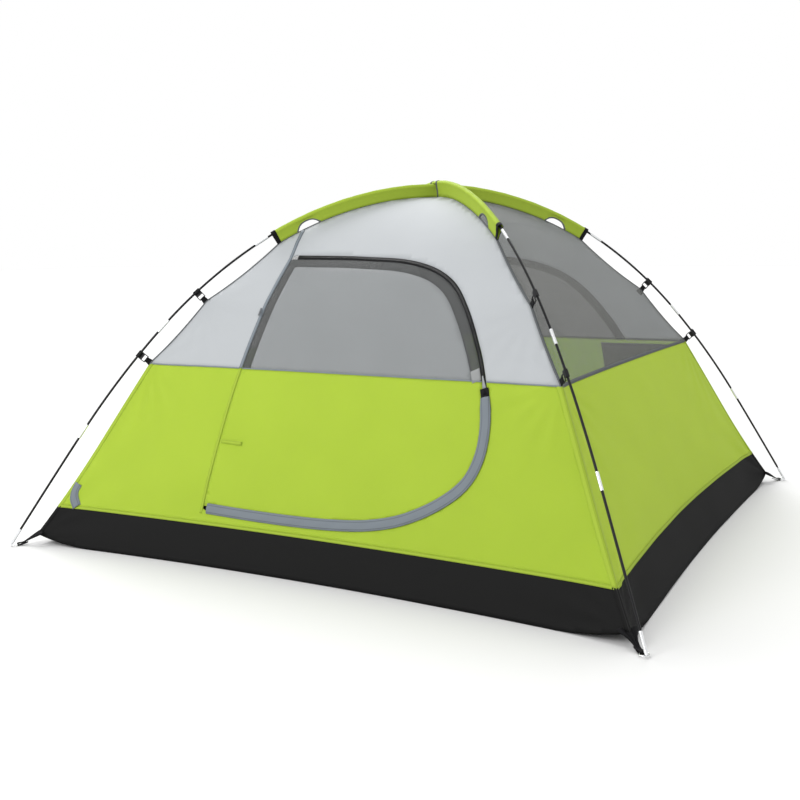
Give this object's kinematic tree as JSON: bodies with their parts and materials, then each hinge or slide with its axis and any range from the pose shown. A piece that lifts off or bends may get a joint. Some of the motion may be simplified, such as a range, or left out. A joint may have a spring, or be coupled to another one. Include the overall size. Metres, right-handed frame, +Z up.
{
  "type": "dome tent",
  "caption": "Freestanding square dome tent on two crossed arch poles, with sewn pole sleeves, pole clips, mesh side walls and a zipped D door.",
  "frame": {"origin": "centre of the pitched footprint on the ground", "axes": "+X to the right along the door wall, -Y out through the door, +Z up"},
  "size_m": [2.4126, 2.356, 1.3419],
  "materials": {
    "pole_rod": "semi-gloss dark fibreglass-look rod",
    "pole_steel": "drawn steel",
    "elastic": "braided elastic",
    "tub_black": "coated black tub fabric",
    "floor_black": "coated black groundsheet",
    "shell_green": "taffeta, lime green",
    "shell_grey": "taffeta, light grey",
    "mesh_grey": "fine see-through mesh",
    "band_grey": "dark grey binding",
    "flap_grey": "slate grey storm flap",
    "zip_black": "woven zip tape and coil",
    "webbing_black": "woven webbing",
    "plastic_black": "moulded nylon",
    "slider_black": "painted zip slider",
    "toggle_grey": "moulded toggle"
  },
  "bodies": {
    "tent": {"pole_a_section_1": "pole_rod", "pole_a_section_2": "pole_rod", "pole_a_section_3": "pole_rod", "pole_a_section_4": "pole_rod", "pole_a_section_5": "pole_rod", "pole_a_section_6": "pole_rod", "pole_a_section_7": "pole_rod", "pole_a_section_8": "pole_rod", "pole_a_section_9": "pole_rod", "pole_b_section_1": "pole_rod", "pole_b_section_2": "pole_rod", "pole_b_section_3": "pole_rod", "pole_b_section_4": "pole_rod", "pole_b_section_5": "pole_rod", "pole_b_section_6": "pole_rod", "pole_b_section_7": "pole_rod", "pole_b_section_8": "pole_rod", "pole_b_section_9": "pole_rod", "shock_cords": "elastic", "pole_ferrules": "pole_steel", "pole_tips": "pole_steel", "ring_pins": "pole_steel", "tub_walls": "tub_black", "left_lower_wall": "shell_green", "left_mesh_wall": "mesh_grey", "right_lower_wall": "shell_green", "right_mesh_wall": "mesh_grey", "front_lower_wall": "shell_green", "front_upper_wall": "shell_grey", "rear_lower_wall": "shell_green", "rear_upper_wall": "shell_grey", "rear_window_frame": "band_grey", "rear_window_mesh": "mesh_grey", "zip_wall_side": "zip_black", "hinge_seam_tape": "band_grey", "cable_port_cover": "band_grey", "gear_pocket": "mesh_grey", "sleeve_a": "shell_green", "sleeve_b": "shell_green", "clip_tabs": "webbing_black", "corner_straps": "webbing_black", "groundsheet": "floor_black"},
    "front_door": {"door_lower_panel": "shell_green", "door_window_frame": "band_grey", "door_window_mesh": "mesh_grey", "zip_door_side": "zip_black", "storm_flap": "flap_grey", "tie_back_loop": "shell_green"},
    "privacy_flap": {"window_flap": "shell_grey"},
    "slider": {"zip_slider": "slider_black"},
    "pull": {"zip_pull": "slider_black"},
    "toggle": {"tie_back_toggle": "toggle_grey"},
    "body_clip_front_left_1": {"clip_front_left_1": "plastic_black"},
    "body_clip_front_left_2": {"clip_front_left_2": "plastic_black"},
    "body_clip_rear_right_1": {"clip_rear_right_1": "plastic_black"},
    "body_clip_rear_right_2": {"clip_rear_right_2": "plastic_black"},
    "body_clip_front_right_1": {"clip_front_right_1": "plastic_black"},
    "body_clip_front_right_2": {"clip_front_right_2": "plastic_black"},
    "body_clip_rear_left_1": {"clip_rear_left_1": "plastic_black"},
    "body_clip_rear_left_2": {"clip_rear_left_2": "plastic_black"}
  },
  "joints": [
    {"name": "door_swing", "type": "hinge", "parent": "tent", "child": "front_door", "pos_m": [-0.39617, -0.80014, 0.64129], "axis": [-0.0651, -0.5032, -0.8617], "range_deg": [0, 100]},
    {"name": "privacy_flap_drop", "type": "hinge", "parent": "front_door", "child": "privacy_flap", "pos_m": [0.07504, -0.77143, 0.66377], "axis": [-1, 0.0028, 0], "range_deg": [0, 110]},
    {"name": "zip_travel", "type": "hinge", "parent": "front_door", "child": "slider", "pos_m": [-0.12618, -0.54975, 0.27654], "axis": [-0.4598, -0.8393, 0.29], "range_deg": [0, 8]},
    {"name": "pull_swing", "type": "hinge", "parent": "slider", "child": "pull", "pos_m": [0.56666, -0.81068, 0.63158], "axis": [-0.9487, -0.1301, -0.288], "range_deg": [0, 120]},
    {"name": "toggle_turn", "type": "hinge", "parent": "tent", "child": "toggle", "pos_m": [-0.38824, -0.66922, 0.85491], "axis": [0.0035, -0.8132, 0.5819], "range_deg": [-90, 90]},
    {"name": "clip_front_left_1_swing", "type": "hinge", "parent": "tent", "child": "body_clip_front_left_1", "pos_m": [-0.82545, -0.8058, 0.67846], "axis": [-0.4681, -0.457, -0.7563], "range_deg": [0, 80]},
    {"name": "clip_front_left_2_swing", "type": "hinge", "parent": "tent", "child": "body_clip_front_left_2", "pos_m": [-0.66875, -0.65283, 0.90334], "axis": [-0.5372, -0.5244, -0.6606], "range_deg": [0, 80]},
    {"name": "clip_rear_right_1_swing", "type": "hinge", "parent": "tent", "child": "body_clip_rear_right_1", "pos_m": [0.82545, 0.8058, 0.67846], "axis": [0.4681, 0.457, -0.7563], "range_deg": [0, 80]},
    {"name": "clip_rear_right_2_swing", "type": "hinge", "parent": "tent", "child": "body_clip_rear_right_2", "pos_m": [0.66875, 0.65283, 0.90334], "axis": [0.5372, 0.5244, -0.6606], "range_deg": [0, 80]},
    {"name": "clip_front_right_1_swing", "type": "hinge", "parent": "tent", "child": "body_clip_front_right_1", "pos_m": [0.82204, -0.80248, 0.68426], "axis": [0.4626, -0.4516, -0.763], "range_deg": [0, 80]},
    {"name": "clip_front_right_2_swing", "type": "hinge", "parent": "tent", "child": "body_clip_front_right_2", "pos_m": [0.66691, -0.65103, 0.91117], "axis": [0.5331, -0.5204, -0.667], "range_deg": [0, 80]},
    {"name": "clip_rear_left_1_swing", "type": "hinge", "parent": "tent", "child": "body_clip_rear_left_1", "pos_m": [-0.82204, 0.80248, 0.68426], "axis": [-0.4626, 0.4516, -0.763], "range_deg": [0, 80]},
    {"name": "clip_rear_left_2_swing", "type": "hinge", "parent": "tent", "child": "body_clip_rear_left_2", "pos_m": [-0.66691, 0.65103, 0.91117], "axis": [-0.5331, 0.5204, -0.667], "range_deg": [0, 80]}
  ]
}
